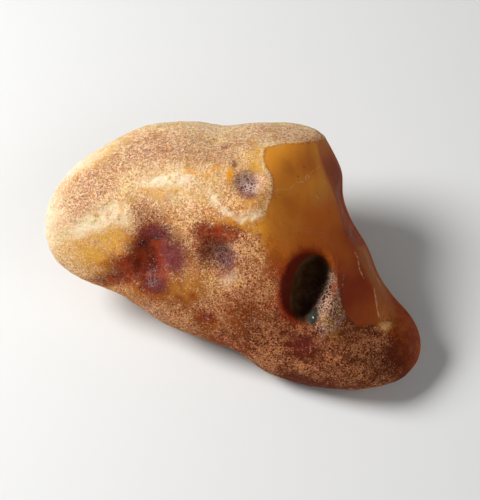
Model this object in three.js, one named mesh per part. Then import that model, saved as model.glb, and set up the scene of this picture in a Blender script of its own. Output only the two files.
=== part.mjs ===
// A weathered lump of raw amber, in millimetres, +Z up, resting on its worn underside.
//
// The lump is one closed solid. It is described in the frame of its broad face: `along` runs
// down the length, `across` runs up the width and `out` stands off the face. A rounded pebble
// with the outline of the broad face is worn flat on several sides and broken open on one
// shoulder, hollows are then sunk into its skin, and the whole is leaned back to the way it rests.
import * as THREE from "three";
import { mergeVertices } from "three/addons/utils/BufferGeometryUtils.js";

// Driving dimensions.
const FACE_LEAN = THREE.MathUtils.degToRad(30); // how far the broad face leans off level at rest
const FRONT_SWELL = 15.5; // how far the pebble swells out of the broad face
const BACK_SWELL = 19; // how far it swells behind the broad face
const RIM_FULLNESS = 2.4; // over 2 gives blunter, fuller sides than an ellipse
const SWELL_FULLNESS = 2;
const UNDERSIDE_DROP = 13; // from the middle of the lump down to the face it rests on
const UNDERSIDE_ROUNDING = 2;
const HEART = new THREE.Vector3(2, -1, -2); // the whole skin is in sight of this point
const CORE = new THREE.Vector3(26, 19, 14); // half-axes of the ellipsoid the skin grows out of
const SKIN_STEPS = 20; // subdivisions along each edge of the icosahedron the skin starts as

// The outline of the broad face, anticlockwise from the tip of the tongue, as [along, across].
const OUTLINE = [
  [31.2, -13.8], // tip of the tongue
  [29.6, -10.4],
  [26.2, -7.4],
  [23.3, -3.4],
  [21.3, 1.4],
  [18.5, 6.2], // waist below the shoulder
  [17.4, 10.0],
  [17.8, 14.6], // shoulder
  [15.5, 19.4],
  [9.5, 21.6],
  [3.0, 21.5],
  [-1.4, 20.8], // notch between the two lobes
  [-6.5, 21.9],
  [-12.3, 21.4],
  [-18.5, 18.7],
  [-25.2, 14.5],
  [-29.3, 9.2],
  [-30.6, 4.0], // blunt end
  [-30.1, -0.4],
  [-25.9, -3.5],
  [-18.2, -6.6],
  [-11.6, -11.0],
  [-4.6, -13.8], // hollow flank
  [0.0, -15.4],
  [6.2, -19.4],
  [13.5, -21.3],
  [21.0, -21.5],
  [27.6, -19.4],
];

// Worn and broken faces. Each is a plane through `at` whose outside lies towards `facing`, and
// `edge` is how wide the rounding is where it meets its neighbours.
const FACES = [
  { name: "roof", at: [-7, 12, 9.8], facing: [-0.12, 0.54, 1], edge: 3 },
  { name: "blunt_end_slope", at: [-24, 3, 5.3], facing: [-0.3, -0.25, 1], edge: 3.5 },
  { name: "belly", at: [0, -6, 8.7], facing: [-0.35, -0.64, 1], edge: 3 },
  { name: "break", at: [9, 6, 10], facing: [0.68, 0.31, 1], edge: 1.4 },
  { name: "lower_break", at: [19, -8, 7], facing: [0.56, 0.05, 1], edge: 2.5 },
  { name: "shoulder_side", at: [15.8, 11.4, 4], facing: [0.86, 0.44, 0.8], edge: 1.2 },
  { name: "top_edge", at: [9, 17.5, 6.5], facing: [0.06, 0.85, 0.52], edge: 2 },
  { name: "heel", at: [-22, 2, -8.8], facing: [-0.75, -0.2, -1], edge: 4 },
  { name: "back", at: [-4, 18.5, -6.5], facing: [-0.1, 1, -0.75], edge: 2.5 },
  { name: "back_shoulder", at: [15, 9, -6.5], facing: [0.9, 0.45, -0.9], edge: 3 },
];

// Hollows sunk into the skin around `at`, in the direction `into`. `radii` and `turn` (degrees)
// lay out the oval rim, and `floor` is the share of the radius taken up by the level bottom.
const IN = [0, 0, -1];
const HOLLOWS = [
  { name: "deep_pit", at: [11.8, -5.2, 10.5], into: IN, radii: [3.9, 6.9], turn: -13, depth: 6.5, floor: 0.3 },
  { name: "red_pit", at: [-13, -0.4, 9.5], into: IN, radii: [4.6, 5.4], turn: -12, depth: 1.5, floor: 0.1 },
  { name: "red_furrow", at: [-19, -3.9, 5.6], into: IN, radii: [7, 2.4], turn: 22, depth: 0.8, floor: 0.1 },
  { name: "grey_dimple", at: [-2.4, -0.2, 11], into: IN, radii: [4, 3.6], turn: 0, depth: 1.3, floor: 0.2 },
  { name: "crest_dimple", at: [2.5, 11.5, 11], into: IN, radii: [2.5, 2.4], turn: 0, depth: 0.9, floor: 0.3 },
  { name: "notch", at: [-2, 18.5, 5], into: IN, radii: [6, 5.5], turn: -10, depth: 1, floor: 0 },
  { name: "back_dimple", at: [-9, 18, -8], into: [0, -1, 0.4], radii: [5, 4], turn: 0, depth: 1.4, floor: 0.1 },
  { name: "back_scoop", at: [10, 14, -12], into: [-0.2, -1, 0.8], radii: [7, 5], turn: 20, depth: 1.4, floor: 0 },
];
const HOLLOW_REACH = 9; // a hollow fades out on skin this far from it, measured along `into`

// The outline's radius at any bearing from its middle.
function outlineRadius() {
  const points = OUTLINE.map(([along, across]) => new THREE.Vector3(along, across, 0));
  const curve = new THREE.CatmullRomCurve3(points, true, "centripetal");
  const samples = curve.getPoints(1440).map((p) => ({
    bearing: Math.atan2(p.y, p.x),
    radius: Math.hypot(p.x, p.y),
  }));
  samples.sort((a, b) => a.bearing - b.bearing);
  const first = samples[0];
  const last = samples[samples.length - 1];
  samples.unshift({ bearing: last.bearing - 2 * Math.PI, radius: last.radius });
  samples.push({ bearing: first.bearing + 2 * Math.PI, radius: first.radius });
  return (bearing) => {
    let low = 0;
    let high = samples.length - 1;
    while (high - low > 1) {
      const middle = (low + high) >> 1;
      if (samples[middle].bearing <= bearing) low = middle;
      else high = middle;
    }
    const a = samples[low];
    const b = samples[high];
    const share = (bearing - a.bearing) / Math.max(b.bearing - a.bearing, 1e-9);
    return THREE.MathUtils.lerp(a.radius, b.radius, share);
  };
}

const radiusAt = outlineRadius();

// Joins two depths with a rounding `width` wide, and is exactly the greater outside it.
function roundedMax(a, b, width) {
  const near = Math.max(width - Math.abs(a - b), 0) / width;
  return Math.max(a, b) + (near * near * width) / 4;
}

// Depths are negative inside the lump and positive outside it, in about millimetres.
function pebbleDepth(p) {
  const reach = Math.hypot(p.x, p.y) / radiusAt(Math.atan2(p.y, p.x));
  const swell = Math.abs(p.z) / (p.z > 0 ? FRONT_SWELL : BACK_SWELL);
  const level = Math.pow(reach, RIM_FULLNESS) + Math.pow(swell, SWELL_FULLNESS);
  return (Math.pow(level, 1 / 2.2) - 1) * FRONT_SWELL;
}

const faces = FACES.map(({ at, facing, edge }) => {
  const outward = new THREE.Vector3(...facing).normalize();
  return { outward, offset: outward.dot(new THREE.Vector3(...at)), edge };
});

const up = new THREE.Vector3(0, Math.sin(FACE_LEAN), Math.cos(FACE_LEAN));

function lumpDepth(p) {
  let depth = pebbleDepth(p);
  for (const face of faces) {
    depth = roundedMax(depth, face.outward.dot(p) - face.offset, face.edge);
  }
  return roundedMax(depth, -up.dot(p) - UNDERSIDE_DROP, UNDERSIDE_ROUNDING);
}

// Where a ray from the heart of the lump comes out through its skin.
function skinPoint(direction) {
  const at = (distance) => direction.clone().multiplyScalar(distance).add(HEART);
  let inside = 0;
  let outside = 0;
  do {
    inside = outside;
    outside += 0.5;
  } while (lumpDepth(at(outside)) < 0);
  for (let halving = 0; halving < 24; halving += 1) {
    const middle = (inside + outside) / 2;
    if (lumpDepth(at(middle)) < 0) inside = middle;
    else outside = middle;
  }
  return at(outside);
}

const hollows = HOLLOWS.map(({ at, into, radii, turn, depth, floor }) => {
  const inward = new THREE.Vector3(...into).normalize();
  const along = new THREE.Vector3(1, 0, 0).projectOnPlane(inward).normalize();
  along.applyAxisAngle(inward, -THREE.MathUtils.degToRad(turn));
  const across = new THREE.Vector3().crossVectors(inward, along);
  return { at: new THREE.Vector3(...at), inward, along, across, radii, depth, floor };
});

// Pushes a point of the skin down into every hollow whose rim it lies within.
function sink(p) {
  const sunk = p.clone();
  for (const { at, inward, along, across, radii, depth, floor } of hollows) {
    const q = p.clone().sub(at);
    const fromMiddle = Math.hypot(q.dot(along) / radii[0], q.dot(across) / radii[1]);
    const within = THREE.MathUtils.smoothstep(1 - fromMiddle, 0, 1 - floor);
    const nearby = 1 - THREE.MathUtils.smoothstep(Math.abs(q.dot(inward)), HOLLOW_REACH / 2, HOLLOW_REACH);
    sunk.addScaledVector(inward, depth * within * nearby);
  }
  return sunk;
}

function lumpGeometry() {
  const ball = new THREE.IcosahedronGeometry(1, SKIN_STEPS);
  ball.deleteAttribute("normal");
  ball.deleteAttribute("uv");
  const geometry = mergeVertices(ball, 1e-5);
  const position = geometry.getAttribute("position");
  const direction = new THREE.Vector3();
  for (let i = 0; i < position.count; i += 1) {
    direction.fromBufferAttribute(position, i).multiply(CORE).sub(HEART).normalize();
    const p = sink(skinPoint(direction));
    position.setXYZ(i, p.x, p.y, p.z);
  }
  geometry.rotateX(FACE_LEAN);
  geometry.computeBoundingBox();
  const { min, max } = geometry.boundingBox;
  geometry.translate(-(min.x + max.x) / 2, -(min.y + max.y) / 2, -min.z);
  geometry.computeVertexNormals();
  return geometry;
}

const amber = new THREE.MeshStandardMaterial({ color: 0xc8873a, roughness: 0.55, metalness: 0 });
const nugget = new THREE.Mesh(lumpGeometry(), amber);
nugget.name = "amber_nugget";

const group = new THREE.Group();
group.add(nugget);
export default group;
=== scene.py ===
import math

import bmesh
import bpy
import numpy as np
from mathutils import Matrix, Vector, noise


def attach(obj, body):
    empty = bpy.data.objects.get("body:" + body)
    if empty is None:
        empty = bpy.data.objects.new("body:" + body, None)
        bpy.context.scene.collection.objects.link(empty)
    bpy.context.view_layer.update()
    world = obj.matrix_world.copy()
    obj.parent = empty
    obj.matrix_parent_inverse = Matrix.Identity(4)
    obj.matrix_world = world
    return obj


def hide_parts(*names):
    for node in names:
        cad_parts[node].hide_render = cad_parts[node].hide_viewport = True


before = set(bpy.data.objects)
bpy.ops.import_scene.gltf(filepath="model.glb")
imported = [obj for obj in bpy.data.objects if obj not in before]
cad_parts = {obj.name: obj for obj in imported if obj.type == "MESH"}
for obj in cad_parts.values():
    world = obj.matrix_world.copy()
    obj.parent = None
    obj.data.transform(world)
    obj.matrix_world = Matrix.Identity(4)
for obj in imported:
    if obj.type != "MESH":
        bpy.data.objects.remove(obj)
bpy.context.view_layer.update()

# The raw amber: one lump of fossil resin, rolled round by surf and soil. Its skin has weathered to a
# crazed, felted crust with iron-red stains and pits. One shoulder has broken open, and shows the
# smooth honey-brown resin inside.
MM = 0.001

# The broad face leans back from level, and everything on it is measured from the lump's middle.
LEAN = math.radians(30)
MIDDLE = Vector((0.00007, 0.00002, 0.0130))
square_on = Vector((0, -math.sin(LEAN), math.cos(LEAN)))

lump = bmesh.new()
lump.from_mesh(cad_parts["amber_nugget"].data)
bmesh.ops.remove_doubles(lump, verts=lump.verts, dist=0.001 * MM)


def soften(verts, rounds):
    """Rounds off the lump at the given vertices."""
    for _ in range(rounds):
        bmesh.ops.smooth_vert(
            lump, verts=verts, factor=0.5, use_axis_x=True, use_axis_y=True, use_axis_z=True
        )


for _ in range(2):
    bmesh.ops.subdivide_edges(lump, edges=lump.edges[:], cuts=1, use_grid_fill=True)
    soften(lump.verts[:], 2)

# The edge of the break, where the crust stops, as places along and across the broad face, in
# millimetres. Past the lump's own edge it only has to stay clear of it.
BREAK = [
    (4.8, 16.6), (7.4, 17.4), (10.4, 17.6), (13.4, 17.9), (14.7, 18.7), (18.5, 19.5), (24.0, 12.0),
    (26.0, 0.0), (34.0, -10.0), (36.0, -19.0), (29.5, -18.5), (27.2, -13.6), (24.8, -11.0),
    (22.0, -10.9), (19.2, -11.3), (17.6, -9.6), (16.8, -7.5), (16.3, -4.3), (15.4, -1.6), (13.4, 0.6),
    (10.6, 0.8), (8.6, -1.0), (7.0, -0.4), (5.7, 1.0), (5.4, 3.0), (4.8, 5.2), (5.2, 7.2), (5.9, 8.9),
    (6.1, 10.6), (5.8, 12.4), (4.9, 13.8), (4.5, 15.2),
]

# Two flat facets within the break: a steep one down its right side, and one low by the tongue.
SIDE_FACET = [
    (12.9, 18.2), (14.2, 13.6), (15.4, 10.5), (16.6, 8.0), (17.2, 5.3), (17.9, 2.7), (30, 3), (30, 20),
    (14, 22),
]
LOW_FACET = [
    (19.2, 1.2), (20.6, -2.4), (21.9, -5.0), (22.9, -10.4), (26.0, -11.5), (25.0, -6.4), (22.4, -2.4),
    (21.0, 1.6),
]

# The deep pit is an oval that leans to the left as it comes down.
PIT = (11.8, -5.2)
PIT_TURN = -13

# Hairline scratches and chips in the break.
SCRATCHES = [
    [(19.1, 0.4), (19.7, -0.8)],
    [(19.6, -0.9), (19.8, -2.3), (20.5, -3.7)],
    [(22.2, -5.4), (22.5, -7.5), (22.9, -9.8)],
    [(6.1, 9.8), (7.2, 10.1), (8.8, 10.2)],
    [(8.9, 10.4), (9.8, 11.3), (11.4, 11.4)],
    [(11.3, 11.7), (11.2, 12.2), (11.5, 12.5), (11.8, 12.2), (11.6, 11.7), (11.3, 11.7)],
    [(11.7, 12.6), (12.3, 13.1), (13.0, 13.5), (13.6, 14.2)],
    [(12.9, 9.2), (13.3, 8.8)],
    [(14.2, 11.8), (14.6, 10.9)],
    [(17.3, -2.6), (17.0, -5.0)],
]


def face_places():
    """How far each vertex lies along, across and out of the broad face, in millimetres."""
    co = np.array([vert.co for vert in lump.verts]) - np.array(MIDDLE)
    lean = np.array(Matrix.Rotation(-LEAN, 3, "X"))
    return (co @ lean.T / MM).T


def smooth(value, low, high):
    """0 at low and 1 at high, with a smooth run between them."""
    t = np.clip((value - low) / (high - low), 0, 1)
    return t * t * (3 - 2 * t)


def spot(middle, radii, turn=0.0, bend=(0, 0)):
    """1 in the middle of an oval on the broad face, 0 at its rim and negative outside it."""
    a, b = np.cos(np.radians(turn)), np.sin(np.radians(turn))
    x, y = along + bend[0] - middle[0], across + bend[1] - middle[1]
    return 1 - np.hypot((a * x + b * y) / radii[0], (a * y - b * x) / radii[1])


def from_side(a, b):
    """How far each vertex lies from the straight line between two points."""
    here = np.stack([along, across], 1)
    side = b - a
    share = np.clip((here - a) @ side / (side @ side), 0, 1)
    return np.linalg.norm(here - a - share[:, None] * side, axis=1)


def from_line(points):
    """How far each vertex lies from an open line."""
    points = np.array(points)
    return np.min([from_side(a, b) for a, b in zip(points[:-1], points[1:])], 0)


def from_scratches():
    return np.min([from_line(line) for line in SCRATCHES], 0)


def inside(outline):
    """How far inside a closed outline each vertex lies, negative outside it."""
    points = np.array(outline, float)
    sides = list(zip(points, np.roll(points, -1, 0)))
    within = np.zeros(len(along), bool)
    for a, b in sides:
        crosses = (a[1] > across) != (b[1] > across)
        climb = b[1] - a[1] if b[1] != a[1] else 1e-9
        within ^= crosses & (along < a[0] + (across - a[1]) / climb * (b[0] - a[0]))
    nearest = np.min([from_side(a, b) for a, b in sides], 0)
    return np.where(within, nearest, -nearest)


def refine(chosen):
    """Splits every edge that has a chosen vertex at one of its ends."""
    lump.verts.index_update()
    fine = [edge for edge in lump.edges if any(chosen[vert.index] for vert in edge.verts)]
    bmesh.ops.subdivide_edges(lump, edges=fine, cuts=1, use_grid_fill=True)
    lump.verts.ensure_lookup_table()


def picked(chosen):
    return [lump.verts[i] for i in np.nonzero(chosen)[0]]


# The mesh is finer along the edge of the break, round the pit, and finest along the scratches.
along, across, out = face_places()
near_break = np.abs(inside(BREAK)) < 0.8
near_pit = spot(PIT, (4.6, 7.6), PIT_TURN) > 0
refine((out > -1) & (near_break | near_pit | (from_scratches() < 0.4)))
along, across, out = face_places()
soften(picked((spot(PIT, (4.4, 7.4), PIT_TURN) > 0) & (out > 0)), 2)
along, across, out = face_places()
refine((out > -1) & (from_scratches() < 0.22))

along, across, out = face_places()
places = [Vector(place) for place in zip(along, across, out)]
front = smooth(out, -3, 1)
facing = smooth(out, 0.5, 5)
far = smooth(out, -1.5, -5)


def grain(size, octaves, shift=0.0):
    """Fractal noise, about -1 to 1, with its coarsest lumps `size` millimetres apart. Each octave is
    half the size of the last, and another shift gives another pattern."""
    offset = Vector((shift, shift, shift))
    fade, halving = 0.9, 2.0
    return np.array([noise.fractal(place / size + offset, fade, halving, octaves) for place in places])


# How far each vertex lies inside the break, which also runs a little way round the lump's edge.
gap = np.minimum(inside(BREAK), (out + 1.8 + 1.6 * grain(5.0, 3, 17)) * 0.7)
# The crust thins out gently towards the pit and the tongue, and ends sharply everywhere else.
gentle = smooth(across, 7.5, 4.0) * smooth(across, -4.5, -1.5) * smooth(along, 17.5, 14.5)
gentle += smooth(along, 22.5, 25.5) * smooth(across, 0, -8)
gap /= 1 + (2.5 + 3.0 * smooth(along, 15, 20)) * gentle
gentle *= smooth(gap, 1.2, 0.4)
# One crumb of crust is left on the tip of the break.
gap -= 1.4 * smooth(spot((23.8, -11.2), (1.3, 0.8), 10), -0.2, 0.5)
uneven = 0.3 * (1 - gentle) * grain(1.4, 3, 3)
broken = smooth(gap + uneven, -0.10 - 0.5 * gentle, 0.12 + 0.5 * gentle)
crust = 1 - broken
side_facet = inside(SIDE_FACET)
low_facet = inside(LOW_FACET)

# The crust is lumpy at three sizes.
height = crust * (0.10 * grain(4.0, 2) + 0.06 * grain(1.3, 2, 7) + 0.035 * grain(0.6, 1, 13))

# The break lies a step lower, with its two facets cut flat and a hollow in the side one.
CRUST_STEP = 0.10
SIDE_SLOPE = 0.16
SIDE_HOLLOW = 0.3
LOW_SLOPE = 0.10
height += broken * (0.04 * grain(5.0, 1, 11) - CRUST_STEP)
height -= SIDE_SLOPE * facing * np.clip(side_facet, 0, 5)
height -= SIDE_HOLLOW * facing * smooth(spot((19.3, 4.2), (1.7, 3.4), 12), 0, 0.8)
height += LOW_SLOPE * facing * np.clip(low_facet, 0, 1.2)

# The pit is sunk deeper, with a bead of glossy skin on its lower lip and a swelling beside it.
PIT_SINK = 0.9
BEAD = (12.3, -9.5)
BEAD_TURN = -10
BEAD_RISE = 0.9
SWELLING = 0.45
pit = smooth(spot(PIT, (3.9, 6.9), PIT_TURN), 0.05, 0.45)
height -= PIT_SINK * front * pit * smooth(spot(PIT, (3.4, 6.2), PIT_TURN), 0, 0.6)
domed = smooth(spot(BEAD, (1.5, 1.9), BEAD_TURN) + 0.08 * grain(0.9, 2, 61), 0, 0.8)
height += BEAD_RISE * front * domed
height += SWELLING * front * smooth(spot((14.2, -7.8), (2.6, 4.0), PIT_TURN), 0, 1.0)

# Each scratch has a raised burr.
BURR = 0.03
scratch = from_scratches()
height += BURR * broken * smooth(scratch, 0.16, 0.02)

# Waxy welts on the crest, where the skin is rubbed thin. Each has a line, a strength, and how far
# from the line it ends and is at its full height.
WELTS = [
    ([(-3.8, 9.3), (-2.1, 7.4), (-0.3, 6.1), (1.6, 5.4), (3.0, 5.6), (4.0, 6.5)], 1.0, 0.95, 0.0),
    ([(0.4, 6.1), (2.4, 5.9), (3.2, 6.2)], 0.8, 1.0, 0.0),
    ([(-13.2, 11.3), (-9.6, 12.2), (-6.8, 12.0)], 1.0, 1.2, 0.1),
]
WELT_RISE = 0.07
thick = 1 + 0.8 * grain(1.1, 3, 77)
welts = np.max([share * smooth(from_line(line) * thick, end, full) for line, share, end, full in WELTS], 0)
height += WELT_RISE * welts * crust * front

# Stains are laid out on a face that noise has bent, so that no patch is a clean oval.
bend = 0.35 * grain(2.6, 3, 21), 0.35 * grain(2.6, 3, 43)


def patches(*ovals):
    """Soft ovals run together at each vertex: (along, across, radii, turn, strength) for each."""
    spared = np.ones(len(along))
    for x, y, radii, turn, strength in ovals:
        spared *= 1 - strength * smooth(spot((x, y), radii, turn, bend), -0.2, 0.85)
    return 1 - spared


# The main stains in front sit in dimples, each with its own depth.
DIMPLES = [
    (0.50, (-13.6, -1.2, (2.4, 4.6), -10, 1.0)),
    (0.35, (-2.4, -0.6, (3.0, 3.4), 0, 1.0)),
    (0.55, (2.0, 11.1, (2.8, 2.7), 0, 1.0)),
]
for deep, oval in DIMPLES:
    height -= deep * front * patches(oval)

# The far side rolls gently and has hollows of its own.
FAR_HOLLOW = 0.70
height += far * (0.55 * grain(7.0, 2, 91) + 0.22 * grain(2.6, 2, 57))
height -= FAR_HOLLOW * far * patches(
    (-8.6, 14.6, (3.4, 3.0), 0, 0.9), (9.0, 10.6, (3.6, 2.6), -20, 0.8), (-3.0, 4.0, (2.2, 1.6), 40, 0.6),
)

# The patch that it stands on is left as it is.
standing = smooth(np.array([vert.co.z for vert in lump.verts]) / MM, 0.02, 0.8)
lump.normal_update()
for vert, rise in zip(lump.verts, height * standing * MM):
    vert.co += vert.normal * rise

# The pit's lower right wall has silted up into a bank, which rises one in one from its foot to its
# top. The masks further down are still laid out on the places from before it was moved.
BANK_FOOT = (12.0, -5.4)
BANK_RUN = (0.894, -0.447)
BANK_LOW = 5.2
BANK_TOP = 7.6
unmoved = along, across, out
along, across, out = face_places()
uphill = BANK_RUN[0] * (along - BANK_FOOT[0]) + BANK_RUN[1] * (across - BANK_FOOT[1])
bank = np.minimum(BANK_LOW + uphill + 0.45 * grain(1.6, 3, 151), BANK_TOP)
in_pit = spot(PIT, (3.7, 6.7), PIT_TURN)
silted = np.clip(bank - out, 0, 9) * smooth(in_pit, 0.0, 0.12) * smooth(uphill, 0.5, 2.3) * (out > 0)
for vert, rise in zip(lump.verts, silted * MM):
    vert.co += square_on * rise
soften(picked((in_pit > -0.05) & (uphill > -0.8) & (out > 0) & (out < BANK_TOP + 0.2)), 10)
along, across, out = unmoved

# Iron-red stains, with a violet bloom beside them and soot-black iron in their deepest parts.
stain = front * patches(
    (-12.2, -0.2, (5.4, 5.4), 0, 0.95), (-16.6, -1.8, (5.2, 3.0), 15, 0.95),
    (-20.0, -4.2, (6.5, 1.8), 10, 0.8), (-13.6, -4.2, (3.2, 3.2), 0, 0.9),
    (-13.0, 3.2, (3.4, 2.2), 0, 0.9), (-4.8, 1.4, (2.8, 5.0), 0, 0.62),
    (-1.8, 3.2, (5.8, 1.9), -4, 0.7), (-5.2, 3.8, (2.0, 1.8), 0, 0.5),
    (1.8, 11.2, (3.0, 2.9), 10, 0.95), (2.6, 9.2, (2.8, 1.2), 0, 0.6),
    (-4.5, -9.9, (2.4, 1.6), 0, 0.6), (-6.4, -6.6, (1.2, 1.0), 0, 0.5),
    (5.8, -2.6, (2.8, 2.4), 0, 0.4), (-1.0, -14.0, (6.0, 1.6), -18, 0.5),
    (-13.6, 7.0, (5.0, 4.0), -8, 0.5), (-1.4, 17.0, (1.0, 0.6), 0, 0.8),
    (11.0, -14.0, (5.0, 2.8), 0, 0.4), (5.6, -7.8, (1.6, 1.2), 0, 0.5),
    (8.2, -9.0, (2.2, 3.4), 0, 0.5), (-20.6, -1.4, (3.6, 1.4), 20, 0.35),
    (-9.0, 8.6, (3.0, 1.6), 0, 0.3), (-25.5, -5.2, (4.4, 1.3), -28, 0.4),
    (1.2, 6.0, (1.8, 0.7), 0, 0.4), (-5.9, 11.8, (1.3, 0.8), -40, 0.5),
    (-12.6, 0.4, (8.5, 8.0), 0, 0.42), (-14.0, 5.4, (4.6, 5.4), 0, 0.3),
    (-2.4, 1.2, (6.6, 6.4), 0, 0.45), (-2.6, 1.0, (4.6, 4.4), 0, 0.4),
)
bloom = front * patches(
    (-9.2, -0.3, (3.5, 5.2), 0, 0.95), (-11.8, 3.6, (3.8, 2.2), 10, 0.8),
    (-12.2, -5.0, (2.8, 2.2), 0, 0.8), (-1.4, -0.6, (3.2, 3.6), 0, 0.9),
    (2.4, 11.0, (2.6, 2.6), 0, 0.75), (0.0, 14.1, (1.1, 1.0), 0, 0.9),
    (-4.3, -9.9, (2.2, 1.5), 0, 0.5), (11.5, -13.8, (5.0, 2.8), 0, 0.5),
)
soot = front * patches(
    (-14.2, 1.8, (0.9, 0.8), 0, 1.0), (-12.2, 2.6, (2.6, 0.6), 22, 0.9),
    (-13.2, -1.2, (1.2, 2.0), 10, 0.9), (-13.2, -3.4, (1.6, 2.2), 0, 0.9),
    (-1.5, -0.5, (2.7, 2.9), 0, 0.95), (2.1, 10.9, (2.0, 2.1), 0, 0.6),
    (-0.1, 2.4, (0.8, 0.8), 0, 0.9), (-16.0, -3.0, (2.0, 0.8), 0, 0.5), (-4.6, 1.0, (1.0, 1.6), 0, 0.4),
)
# The dimples are crazed, with a pale net of fine cracks.
craze = front * patches(
    (2.4, 10.9, (2.7, 2.6), 0, 1.0), (-1.4, -0.9, (2.9, 3.2), 0, 0.18), (-12.9, -3.8, (1.3, 1.9), 0, 0.3),
)

# Rubbed skin: pale and waxy on the crest, ochre below it, orange in a few fresh chips, and mauve
# where the crust is thickest. The pale wax is partly a painted highlight along the crest and left end.
wax_and_highlight = front * patches(
    (-9.4, 11.7, (4.0, 1.6), 4, 1.0), (-13.0, 11.3, (3.8, 1.2), 12, 0.5),
    (-22.4, 5.0, (6.0, 2.0), 24, 0.9), (-30.0, 5.5, (3.6, 8.0), -12, 0.6),
    (-24.0, 14.6, (9.0, 1.6), 32, 0.7), (-1.0, -3.6, (2.6, 1.2), 20, 0.35),
    (-8.5, 9.0, (7.0, 2.2), 12, 0.25), (-18.0, 6.2, (2.0, 2.4), 40, 0.8),
    (23.9, -11.2, (1.2, 0.7), 10, 0.17),
)
# The welts get the pale wax too, partly as a painted highlight.
wax_and_highlight = np.maximum(wax_and_highlight, front * np.clip(welts * (0.8 + 0.8 * grain(0.9, 2, 66)), 0, 1))
ochre = front * patches(
    (-19.2, 2.4, (5.0, 3.4), 8, 0.9), (-23.0, 0.0, (6.5, 3.0), -20, 0.7),
    (-11.8, 10.0, (4.6, 1.2), 0, 0.7), (-7.4, 13.0, (1.4, 1.2), 0, 0.8),
    (0.4, 4.7, (3.4, 1.4), -10, 0.8), (3.4, 15.4, (2.2, 3.2), 0, 0.8),
    (-7.5, -5.3, (5.4, 2.6), 5, 0.3), (4.6, 3.6, (2.2, 3.6), 0, 0.45),
    (3.0, 8.0, (3.0, 1.5), 0, 0.6), (-21.0, 16.0, (7.0, 1.6), 34, 0.6),
    (-4.4, 12.2, (2.6, 1.0), -20, 0.7), (3.6, 13.6, (1.6, 1.2), 0, 0.8),
    (-6.6, 9.4, (3.4, 1.2), -14, 0.55), (4.0, 4.4, (1.4, 2.2), 0, 0.6),
    (-10.8, 9.0, (2.2, 1.0), 10, 0.6), (14.6, -10.4, (1.5, 1.4), 0, 0.38),
    (16.2, -8.2, (0.9, 1.6), 0, 0.34), (15.6, -12.4, (1.6, 1.1), 0, 0.3),
    (23.8, -11.3, (1.8, 1.0), 10, 0.6),
)
orange = front * patches(
    (-0.7, 12.3, (0.9, 1.9), 5, 1.0), (-2.8, 13.4, (2.0, 0.6), 25, 0.45),
    (-22.3, 9.2, (0.6, 0.5), 0, 0.6), (-7.0, 12.8, (1.6, 0.5), -15, 0.35),
    (-17.6, 6.8, (0.5, 1.3), 0, 0.4),
)
mauve = front * patches(
    (-22.6, 10.4, (9.0, 4.0), 43, 0.95), (-13.0, 16.6, (10.0, 3.6), 12, 0.95),
    (-4.6, 15.8, (7.0, 2.8), -8, 0.8), (7.5, 19.3, (8.0, 2.2), -10, 0.8),
    (1.5, 17.6, (4.6, 2.6), -10, 0.7), (-14.0, -8.6, (5.0, 1.5), -27, 0.6),
)

# The far side has weathered in the same way, with its stains where iron water seeped in.
stain += far * patches(
    (-9.0, 15.0, (5.0, 4.0), 10, 0.9), (8.0, 11.0, (5.0, 3.4), -20, 0.7),
    (1.0, -6.0, (7.0, 2.6), -14, 0.6), (14.0, -6.0, (4.0, 3.0), 0, 0.5), (-3.0, 4.0, (2.0, 1.4), 40, 0.7),
)
stain += far * 0.6 * smooth(grain(9.0, 3, 101), 0.15, 0.7)
bloom += far * patches(
    (-8.0, 13.6, (4.0, 3.4), 0, 0.8), (9.4, 10.0, (4.4, 3.4), -20, 0.7), (3.0, -6.6, (4.4, 2.0), -14, 0.6),
)
craze += far * patches((-8.6, 14.6, (3.0, 2.6), 0, 0.8), (9.0, 10.6, (3.0, 2.2), -20, 0.6))
ochre += far * 0.6 * smooth(grain(7.0, 3, 111), 0.05, 0.6)
mauve += far * smooth(grain(9.0, 3, 121), -0.05, 0.45)
wax_and_highlight += far * 0.4 * smooth(grain(5.0, 3, 131), 0.30, 0.55)

# The pit's bank is crazed all over and reddened where the break runs past it, and its pale craze fades
# towards the pit's foot as painted shade. The rim is deep red, and the well within it is nearly black.
reddened = front * smooth(spot((16.0, -4.8), (1.1, 3.0), PIT_TURN), 0.0, 0.7)
crazed_and_shade = front * smooth(spot((14.9, -7.2), (3.8, 6.4), PIT_TURN), 0.0, 0.4)
# Painted shade: the pale craze fades out towards the pit's foot.
crazed_and_shade *= (0.2 + 0.8 * smooth(uphill, 0.6, 3.2)) * (1 - 0.35 * reddened)
rim = np.maximum(front * smooth(spot((10.8, -4.8), (5.4, 7.8), PIT_TURN), 0.0, 0.5), 0.45 * reddened)
well = front * smooth(spot((12.0, -5.4), (3.7, 6.3), PIT_TURN), 0.0, 0.28)
bead = front * smooth(spot(BEAD, (1.2, 1.6), BEAD_TURN), 0.05, 0.2)

# How deep a brown the resin under the crust is: pale on the crest, dark on the tongue and below.
depth = 0.25 + 0.030 * (6.4 - across) + 0.015 * (along + 5) + 0.12 * grain(9.0, 2, 5)
depth = np.clip(depth + 0.026 * np.clip(-out - 1, 0, 14), 0, 1)

# How thickly the pale grains lie. They are rubbed off at the tongue's tip and along its foot.
tongue_tip = smooth(along + 0.3 * across, 18.5, 25.0) * smooth(across, -6, -10)
tongue_foot = smooth(across + 0.42 * along, -13.6, -15.8) * smooth(along, 5, 12)
frost = 0.78 - 0.34 * depth + 0.10 * grain(5.0, 3, 31)
frost -= 0.3 * tongue_tip + 0.3 * tongue_foot
frost -= 0.28 * ochre + 0.30 * np.maximum(stain, bloom) + 0.16 * mauve
frost -= 0.35 * smooth(gap, -0.8, 0.2) * gentle
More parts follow.
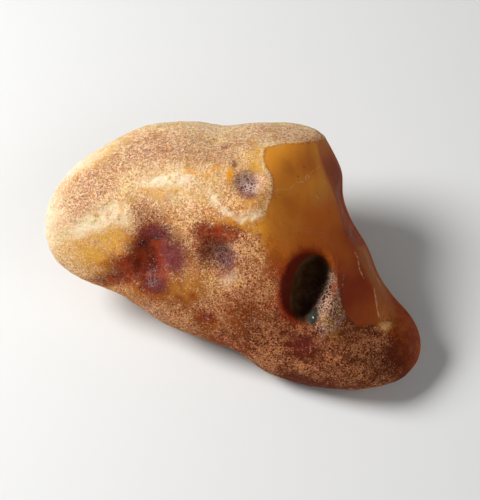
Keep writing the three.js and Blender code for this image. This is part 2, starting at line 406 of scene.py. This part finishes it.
# They are thickest in a lip along the sharp part of the break's edge.
lip = 0.5 * smooth(along, 15, 16) * smooth(across, -2, -3.5) * smooth(across, -9.6, -8)
lip = np.maximum(smooth(along, 9, 6), lip) * smooth(np.abs(gap + 0.35), 0.5, 0.1) * (1 - gentle)
frost += (0.22 + 0.4 * grain(1.6, 2, 71)) * lip
frost += 0.17 * front * patches(
    (4.4, -15.6, (6.0, 2.6), -22, 1.0), (14.3, -13.4, (5.0, 3.4), 0, 0.6),
    (2.7, 1.3, (4.4, 3.4), 0, 0.7), (-0.4, -4.3, (3.4, 1.9), 15, 1.0),
    (-9.0, -9.4, (5.0, 1.8), -27, 0.7), (20.0, -14.0, (4.0, 2.4), 0, 0.5),
    (23.8, -11.3, (2.0, 1.1), 10, 2.2),
)
frost -= 0.30 * front * patches(
    (-8.2, -6.2, (5.2, 2.8), 0, 0.9), (7.4, -1.3, (2.8, 3.4), 0, 0.7),
    (10.9, -14.7, (3.4, 2.6), 0, 0.6), (-4.6, -10.2, (3.4, 2.2), 0, 0.7),
    (1.6, -8.6, (4.0, 1.8), -30, 0.6), (25.0, -16.0, (3.4, 2.4), 30, 0.7),
)
frost = np.clip(frost + 0.05 * crazed_and_shade * crust, 0, 1)

# How bright the resin is in the break: honey near the crest and red-brown low down, partly from the
# deeper resin and partly painted light falling off away from the lit upper left. Painted shade
# darkens the steep side facet and the gully beside it, a painted reflection lightens one patch high
# up, and a painted sheen lies as a milky tint in two places.
resin_tone_and_painted_light = np.clip(0.72 - 0.042 * (along - 8) + 0.022 * (across - 8), 0, 1)
# Painted shade on the steep side facet and in the gully beside it.
resin_tone_and_painted_light -= 0.35 * smooth(side_facet, -0.3, 0.3) + 0.4 * smooth(spot((19.4, 3.6), (2.2, 5.0), 12), 0, 0.7)
# A painted reflection lightens one patch high in the break.
resin_tone_and_painted_light = np.clip(resin_tone_and_painted_light, 0.15, 1) + 0.2 * smooth(spot((13.2, 11.0), (3.0, 4.0), -20), 0, 1)
# A painted sheen: a milky tint for the soft light's reflection, high in the break and on the low facet.
painted_sheen = 0.55 * smooth(spot((13.8, 9.4), (2.6, 3.6), -20), 0, 1)
painted_sheen += 0.8 * smooth(low_facet, -0.4, 0.5) * smooth(out, 0.5, 3.0)

# The steep flanks are duller, and the tongue is polished where its grains are rubbed off.
lump.normal_update()
tilt = np.array([vert.normal for vert in lump.verts]) @ np.array(square_on)
flank = smooth(tilt, 0.70, 0.30) * (1 - bead)
polish = front * np.maximum(tongue_tip, tongue_foot)
polish *= 1 - smooth(spot((23.8, -11.3), (2.4, 1.4), 10), 0, 0.5)

mesh = bpy.data.meshes.new("raw_amber")
lump.to_mesh(mesh)
lump.free()
for polygon in mesh.polygons:
    polygon.use_smooth = True
layers = dict(
    gap=gap, gentle=gentle, stain=stain, bloom=bloom, soot=soot, craze=craze, wax_and_highlight=wax_and_highlight, ochre=ochre,
    orange=orange, mauve=mauve, crazed_and_shade=crazed_and_shade, rim=rim, well=well, bead=bead, depth=depth, frost=frost,
    resin_tone_and_painted_light=resin_tone_and_painted_light, painted_sheen=painted_sheen, flank=flank, polish=polish, scratch=smooth(scratch, 0.14, 0.04),
)
for name, values in layers.items():
    mesh.attributes.new(name, "FLOAT", "POINT").data.foreach_set("value", values.astype(np.float32))
amber = bpy.data.objects.new("raw_amber", mesh)
bpy.context.scene.collection.objects.link(amber)

# Its material is one shader, which lays the crust over the resin.
material = bpy.data.materials.new("raw_amber")
material.use_nodes = True
tree = material.node_tree
surface = tree.nodes["Principled BSDF"]
mesh.materials.append(material)


def put(kind, inputs=(), **settings):
    """A shader node, with each of its inputs linked to a socket or set to a value."""
    made = tree.nodes.new("ShaderNode" + kind)
    for name, value in settings.items():
        setattr(made, name, value)
    for name, value in dict(inputs).items():
        if isinstance(value, bpy.types.NodeSocket):
            tree.links.new(value, made.inputs[name])
        else:
            made.inputs[name].default_value = value
    return made


def calc(operation, a, b=0.0, clamp=False):
    return put("Math", {0: a, 1: b}, operation=operation, use_clamp=clamp).outputs[0]


def times(*values):
    result = values[0]
    for value in values[1:]:
        result = calc("MULTIPLY", result, value)
    return result


def most(a, b):
    return calc("MAXIMUM", a, b)


def limited(value):
    """The value, held between 0 and 1."""
    return calc("ADD", value, 0.0, clamp=True)


def less(value, share=1.0):
    """1 where `value` is 0, falling to 1 - share where it is 1."""
    return calc("SUBTRACT", 1.0, times(value, share), clamp=True)


def step(value, low, high, to_low=0.0, to_high=1.0):
    """A smooth run from to_low, where `value` is low, to to_high."""
    inputs = {0: value, 1: low, 2: high, 3: to_low, 4: to_high}
    return put("MapRange", inputs, interpolation_type="SMOOTHSTEP").outputs[0]


def between(factor, low, high):
    return put("Mix", {0: factor, 2: low, 3: high}, data_type="FLOAT").outputs[0]


def over(factor, under, top):
    """The colour `top` laid over `under`."""
    return put("Mix", {0: factor, 6: under, 7: top}, data_type="RGBA").outputs[2]


def paint(code):
    """A colour from its six-digit code, as the linear numbers a shader takes."""
    parts = [int(code[i : i + 2], 16) / 255 for i in (0, 2, 4)]
    return tuple(c / 12.92 if c < 0.04045 else ((c + 0.055) / 1.055) ** 2.4 for c in parts) + (1.0,)


def layer(name):
    return put("Attribute", attribute_name=name).outputs["Fac"]


mm_place = put("Mapping", {"Vector": put("TexCoord").outputs["Object"], "Scale": (1 / MM,) * 3}).outputs[0]


def cloud(scale, detail, rough=0.5, shift=0.0):
    """Soft noise from 0 to 1, with about `scale` lumps to the millimetre."""
    moved = put("Mapping", {"Vector": mm_place, "Location": (shift,) * 3}).outputs[0]
    inputs = {"Vector": moved, "Scale": scale, "Detail": detail, "Roughness": rough}
    return put("TexNoise", inputs).outputs["Fac"]


def streaks(turn, scales, **settings):
    """Noise drawn out along the lump, with `scales` lumps to the millimetre each way."""
    place = put("Mapping", {"Vector": mm_place, "Rotation": (0, 0, turn), "Scale": scales}).outputs[0]
    return put("TexNoise", {"Vector": place, "Scale": 1.0} | settings).outputs["Fac"]


def frayed(name, *noises):
    """A layer with its edges broken up by noises, each with its share."""
    value = layer(name)
    for soft_noise, share in noises:
        value = calc("ADD", value, times(calc("SUBTRACT", soft_noise, 0.5), share))
    return value


def off_middle(soft_noise):
    """How far a noise is from its middle, which is 0 along thin wandering lines."""
    return calc("ABSOLUTE", calc("SUBTRACT", soft_noise, 0.5))


# The crust is a felt of pale grains and short threads, thick on the crest and thin low down.
coarse = cloud(0.9, 4, 0.6, 5)
grains = cloud(3.4, 3, 0.74)
drift = cloud(0.25, 3, 0.55, 9)
threads = calc("SUBTRACT", 1.0, times(off_middle(cloud(1.7, 4, 0.62, 31)), 14.0), clamp=True)
frost_here = limited(frayed("frost", (coarse, 1.05), (drift, 0.8)))
felt = step(calc("SUBTRACT", grains, between(frost_here, 0.67, 0.43)), -0.035, 0.065)
felt = limited(most(felt, times(threads, step(frost_here, 0.15, 0.7), 0.75)))
felt = times(felt, less(layer("polish"), 0.72))

# The resin under it, and the tips of the grains, from the crest down to the tongue.
STRAW, CARAMEL, CHESTNUT, OXBLOOD = map(paint, ("d29a54", "ba6e2c", "90420e", "5e1f06"))
CREAM, BUFF, TAN, ROSE = map(paint, ("fadab0", "f8cc94", "e29a68", "eecab0"))
depth_here = limited(frayed("depth", (drift, 0.7), (coarse, 0.35)))
body = over(step(depth_here, 0.0, 0.35), STRAW, CARAMEL)
body = over(step(depth_here, 0.3, 0.68), body, CHESTNUT)
body = over(step(depth_here, 0.62, 1.0), body, OXBLOOD)
tips = over(step(depth_here, 0.0, 0.45), CREAM, BUFF)
tips = over(step(depth_here, 0.4, 1.0), tips, TAN)
tips = over(times(layer("crazed_and_shade"), 0.7), tips, ROSE)

# Mauve and ochre drifts tint both.
DULL_MAUVE, PALE_MAUVE = map(paint, ("ae7654", "f6ceaa"))
DEEP_OCHRE, PALE_OCHRE = map(paint, ("eaae34", "f2c474"))
mauve_in = times(layer("mauve"), step(cloud(0.8, 4, 0.7, 13), 0.28, 0.54))
body = over(times(mauve_in, 0.95), body, DULL_MAUVE)
tips = over(times(mauve_in, 0.85), tips, PALE_MAUVE)
ochre_in = times(layer("ochre"), step(cloud(0.8, 3, 0.6, 17), 0.30, 0.58))
body = over(ochre_in, body, DEEP_OCHRE)
tips = over(times(ochre_in, 0.6), tips, PALE_OCHRE)

# So do the red stains and their violet bloom, which reach the grain tips only at their cores.
RUST, IRON_RED, DARK_IRON, RUSTY_TIPS = map(paint, ("a44420", "9c2c06", "700e03", "a0421c"))
VIOLET, VIOLET_TIPS = map(paint, ("6a2a38", "b07c80"))
stain_in = step(frayed("stain", (coarse, 1.0), (grains, 1.5)), 0.12, 0.85)
bloom_in = step(frayed("bloom", (coarse, 0.8), (grains, 1.5)), 0.12, 0.85)
core = step(most(layer("stain"), layer("bloom")), 0.6, 1.1)
red = over(step(cloud(0.5, 3, 0.5, 23), 0.40, 0.68), DARK_IRON, IRON_RED)
red = over(step(layer("stain"), 0.25, 0.75), RUST, red)
body = over(times(stain_in, 0.95), body, red)
body = over(times(bloom_in, 0.68), body, VIOLET)
tips = over(times(stain_in, core, 0.9), tips, RUSTY_TIPS)
tips = over(times(bloom_in, core, 0.7), tips, VIOLET_TIPS)
colour = over(times(felt, less(core, 0.5)), body, tips)

# Dark strands are combed along the mauve skin.
LIGHT_STRAND, DARK_STRAND = map(paint, ("a06242", "4c1806"))
combed = streaks(-0.5, (0.30, 1.15, 1.15), Detail=4.0, Roughness=0.6, Distortion=0.7)
strands = times(step(off_middle(combed), 0.035, 0.010), most(limited(layer("mauve")), 0.12))
strands = times(strands, less(core), step(grains, 0.66, 0.50, 0.25, 1.0))
colour = over(times(strands, 0.68), colour, over(depth_here, LIGHT_STRAND, DARK_STRAND))

# On top of the felt: waxy skin that is partly a painted highlight, orange chips, and soot with painted
# grey glints in it.
WAX_AND_HIGHLIGHT, ORANGE, SOOT, GLINT_GREY = map(paint, ("f8e6c6", "f2a008", "1c1218", "b9a9a4"))
# The pale wax colour is partly a painted highlight.
wax_and_highlight_in = limited(times(layer("wax_and_highlight"), step(cloud(0.9, 3, 0.6, 3), 0.28, 0.52)))
colour = over(times(wax_and_highlight_in, 0.92), colour, WAX_AND_HIGHLIGHT)
colour = over(times(limited(layer("orange")), less(felt, 0.2)), colour, ORANGE)
soot_in = limited(times(layer("soot"), step(cloud(2.6, 3, 0.75, 19), 0.47, 0.58)))
colour = over(soot_in, colour, SOOT)
# Painted highlights: grey glints on the glossy soot.
painted_glints = times(layer("soot"), step(cloud(3.4, 2, 0.6, 41), 0.61, 0.68), 0.8)
colour = over(painted_glints, colour, GLINT_GREY)

# The dimples' crazed net of fine cracks, bent so that none runs straight.
wander = put("TexNoise", {"Vector": mm_place, "Scale": 1.3, "Detail": 2.0}).outputs["Color"]
bending = {0: wander, 1: (0.6, 0.6, 0.6), 2: mm_place}
crooked = put("VectorMath", bending, operation="MULTIPLY_ADD").outputs[0]


def cracks(scale, edge, middle):
    """A crooked net of cracks, with about `scale` cells to the millimetre."""
    cells = put("TexVoronoi", {"Vector": crooked, "Scale": scale}, feature="DISTANCE_TO_EDGE")
    return step(cells.outputs["Distance"], edge, middle)


PALE_NET = paint("e4ccbc")
craze_in = times(cracks(1.8, 0.26, 0.08), step(coarse, 0.4, 0.6, 0.3, 1.0), limited(layer("craze")))
colour = over(times(craze_in, 0.9), colour, PALE_NET)

# The break: clear resin, honey near the crest and red-brown towards the tongue, partly its own
# deeper colour and partly painted light, with veils, scratches and dark flaws in it.
RED_BROWN, AMBER_BROWN, HONEY = map(paint, ("922c03", "d06c10", "f2a030"))
DARK_VEIL, LIGHT_VEIL, SHEEN_TINT = map(paint, ("a04808", "ffb84a", "c07a3a"))
SCUFF, FLAW = map(paint, ("e8b878", "3c1402"))
soft_edge = layer("gentle")
frayed_gap = frayed("gap", (coarse, 1.4), (grains, 0.9))
bare = step(frayed_gap, between(soft_edge, -0.10, -0.55), between(soft_edge, 0.14, 0.55))
resin_tone_and_painted_light_here = limited(frayed("resin_tone_and_painted_light", (cloud(0.14, 2, 0.5, 2), 0.5)))
honey = over(step(resin_tone_and_painted_light_here, 0.0, 0.45), RED_BROWN, AMBER_BROWN)
honey = over(step(resin_tone_and_painted_light_here, 0.4, 1.0), honey, HONEY)
veil = streaks(0.15, (0.30, 0.09, 0.09), Detail=3.0, Roughness=0.45, Distortion=0.8)
veiled = step(resin_tone_and_painted_light_here, 0.2, 0.6)
honey = over(times(step(veil, 0.50, 0.75), veiled, 0.35), honey, DARK_VEIL)
honey = over(times(step(veil, 0.50, 0.28), veiled, 0.25), honey, LIGHT_VEIL)
# The painted sheen, laid on as a milky tint.
honey = over(times(layer("painted_sheen"), 0.6), honey, SHEEN_TINT)
scuffed = times(layer("scratch"), step(cloud(1.8, 2, 0.5, 8), 0.44, 0.58), 0.7)
honey = over(scuffed, honey, SCUFF)
flaws = times(step(cloud(2.4, 2, 0.5, 51), 0.655, 0.70), step(coarse, 0.5, 0.6))
honey = over(times(flaws, 0.7), honey, FLAW)
colour = over(bare, colour, honey)

# The pit: a crazed bank, a deep red rim, near-black walls and a grey bead.
OUTER_RIM, INNER_RIM, BEAD_GREY = map(paint, ("ae3406", "5c0c03", "3c3a34"))
DARK_WALL, OLIVE_WALL, BANK_WALL = map(paint, ("482410", "64482e", "5c3424"))
BANK_NET, WALL_NET = map(paint, ("f0cdb4", "e4c0aa"))
net = cracks(1.6, 0.13, 0.03)
bank_net = times(net, layer("crazed_and_shade"), less(bare), step(grains, 0.46, 0.56), 0.8)
colour = over(bank_net, colour, BANK_NET)
rim_in = step(frayed("rim", (grains, 1.2), (coarse, 1.0)), 0.2, 0.85)
rim_red = over(step(layer("rim"), 0.35, 0.9), OUTER_RIM, INNER_RIM)
colour = over(times(rim_in, 0.95), colour, rim_red)
wall = over(step(cloud(0.5, 3, 0.5, 6), 0.3, 0.75), DARK_WALL, OLIVE_WALL)
wall = over(times(layer("crazed_and_shade"), 0.9), wall, BANK_WALL)
wall = over(times(net, layer("crazed_and_shade"), 0.95), wall, WALL_NET)
well_in = step(frayed("well", (grains, 0.5)), 0.15, 0.85)
colour = over(well_in, colour, wall)
colour = over(layer("bead"), colour, BEAD_GREY)
tree.links.new(colour, surface.inputs["Base Color"])

# The break, the waxy skin, the stains' cores, the polished tongue and the bead are glossy. The felt
# and the steep flanks are dull. Nearly all of the shine is in the coat.
DULL, SHINY = 0.60, 0.16
COAT_ROUGHNESS = 0.12
COAT_IOR = 1.38
gloss = most(times(bare, less(layer("gentle"), 0.7)), times(wax_and_highlight_in, 0.9))
gloss = most(most(gloss, times(core, 0.5)), times(layer("polish"), 0.5))
gloss = times(gloss, less(step(layer("rim"), 0.0, 0.3), 0.85), less(layer("flank"), 0.85))
gloss = limited(most(gloss, layer("bead")))
tree.links.new(between(gloss, DULL, SHINY), surface.inputs["Roughness"])
tree.links.new(times(step(gloss, 0.3, 1.0), less(layer("flank"))), surface.inputs["Coat Weight"])
surface.inputs["Coat Roughness"].default_value = COAT_ROUGHNESS
surface.inputs["Coat IOR"].default_value = COAT_IOR
surface.inputs["Specular IOR Level"].default_value = 0.02

# The felt stands up in fine bumps.
BUMP_HEIGHT = 0.22 * MM
bumps = times(calc("ADD", times(felt, 0.6), calc("ADD", grains, coarse)), less(gloss, 0.95))
relief = put("Bump", {"Height": bumps, "Distance": BUMP_HEIGHT, "Strength": 0.9})
tree.links.new(relief.outputs[0], surface.inputs["Normal"])

# The resin is milky. Light spreads 3 mm in the break but 0.2 mm under the crust, and about a third
# of it passes clear through the break, coloured by the amber on its way.
AMBER_IOR = 1.54
THROUGH_CRUST, THROUGH_DARK, THROUGH_HONEY = 0.10, 0.34, 0.26
SPREAD_CRUST, SPREAD_BREAK = 0.2 * MM, 3 * MM
AMBER_TINT = paint("e08a2c")
ABSORPTION = 220
surface.inputs["IOR"].default_value = AMBER_IOR
through = times(bare, less(layer("flank"), 0.85), between(resin_tone_and_painted_light_here, THROUGH_DARK, THROUGH_HONEY))
through = most(through, times(less(felt), THROUGH_CRUST))
tree.links.new(through, surface.inputs["Transmission Weight"])
surface.inputs["Subsurface Weight"].default_value = 1.0
surface.inputs["Subsurface Radius"].default_value = (1.0, 0.45, 0.15)
spread = times(between(bare, SPREAD_CRUST, SPREAD_BREAK), less(most(well_in, layer("bead")), 0.8))
tree.links.new(spread, surface.inputs["Subsurface Scale"])
inner = tree.nodes.new("ShaderNodeVolumeAbsorption")
inner.inputs["Color"].default_value = AMBER_TINT
inner.inputs["Density"].default_value = ABSORPTION
tree.links.new(inner.outputs[0], tree.nodes["Material Output"].inputs["Volume"])

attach(amber, "root")
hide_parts("amber_nugget")

# The floor: one flat sheet of pale matt board, 3 m square, wide enough to fill the view.
BOARD_HALF = 1.5
board = bmesh.new()
bmesh.ops.create_grid(board, x_segments=1, y_segments=1, size=BOARD_HALF)
board_mesh = bpy.data.meshes.new("floor")
board.to_mesh(board_mesh)
board.free()
floor = bpy.data.objects.new("floor", board_mesh)
bpy.context.scene.collection.objects.link(floor)
board_paint = bpy.data.materials.new("floor")
board_paint.use_nodes = True
board_surface = board_paint.node_tree.nodes["Principled BSDF"]
board_surface.inputs["Base Color"].default_value = (0.72, 0.72, 0.71, 1)
board_surface.inputs["Roughness"].default_value = 0.9
board_mesh.materials.append(board_paint)

# The lights: three round softboxes, each with its place, its width and its power in watts. All are
# turned to the middle of the lump.
LAMPS = {
    "key": ((-0.24, 0.04, 0.26), 0.16, 1.6),
    "fill": ((0.1, -0.5, 0.4), 0.5, 0.38),
    "side": ((0.30, -0.18, 0.34), 0.30, 0.36),
}
lit_point = Vector((0, 0, 0.012))
for name, (place, size, power) in LAMPS.items():
    lamp = bpy.data.lights.new(name, "AREA")
    lamp.shape = "DISK"
    lamp.size = size
    lamp.energy = power
    holder = bpy.data.objects.new(name, lamp)
    bpy.context.scene.collection.objects.link(holder)
    holder.location = place
    holder.rotation_euler = (lit_point - Vector(place)).to_track_quat("-Z", "Y").to_euler()

# The room is white, brighter along the horizon than overhead.
room = bpy.data.worlds.new("studio")
room.use_nodes = True
room_tree = room.node_tree
backdrop = room_tree.nodes["Background"]
backdrop.inputs["Color"].default_value = (1, 1, 1, 1)
upward = room_tree.nodes.new("ShaderNodeSeparateXYZ")
room_tree.links.new(room_tree.nodes.new("ShaderNodeTexCoord").outputs["Generated"], upward.inputs[0])
dimming = room_tree.nodes.new("ShaderNodeMapRange")
room_tree.links.new(upward.outputs["Z"], dimming.inputs["Value"])
for socket, value in {"From Min": 0.0, "From Max": 0.5, "To Min": 0.32, "To Max": 0.09}.items():
    dimming.inputs[socket].default_value = value
room_tree.links.new(dimming.outputs[0], backdrop.inputs["Strength"])
bpy.context.scene.world = room
bpy.context.scene.view_settings.view_transform = "Standard"

# The camera looks square on to the broad face.
AIM = Vector((0.00096, 0.0004, 0.0138))
DISTANCE = 0.300
camera_data = bpy.data.cameras.new("camera")
camera_data.lens = 135
camera_data.clip_start = 0.01
camera = bpy.data.objects.new("camera", camera_data)
bpy.context.scene.collection.objects.link(camera)
camera.location = AIM + square_on * DISTANCE
camera.rotation_euler = (-square_on).to_track_quat("-Z", "Y").to_euler()
bpy.context.scene.camera = camera
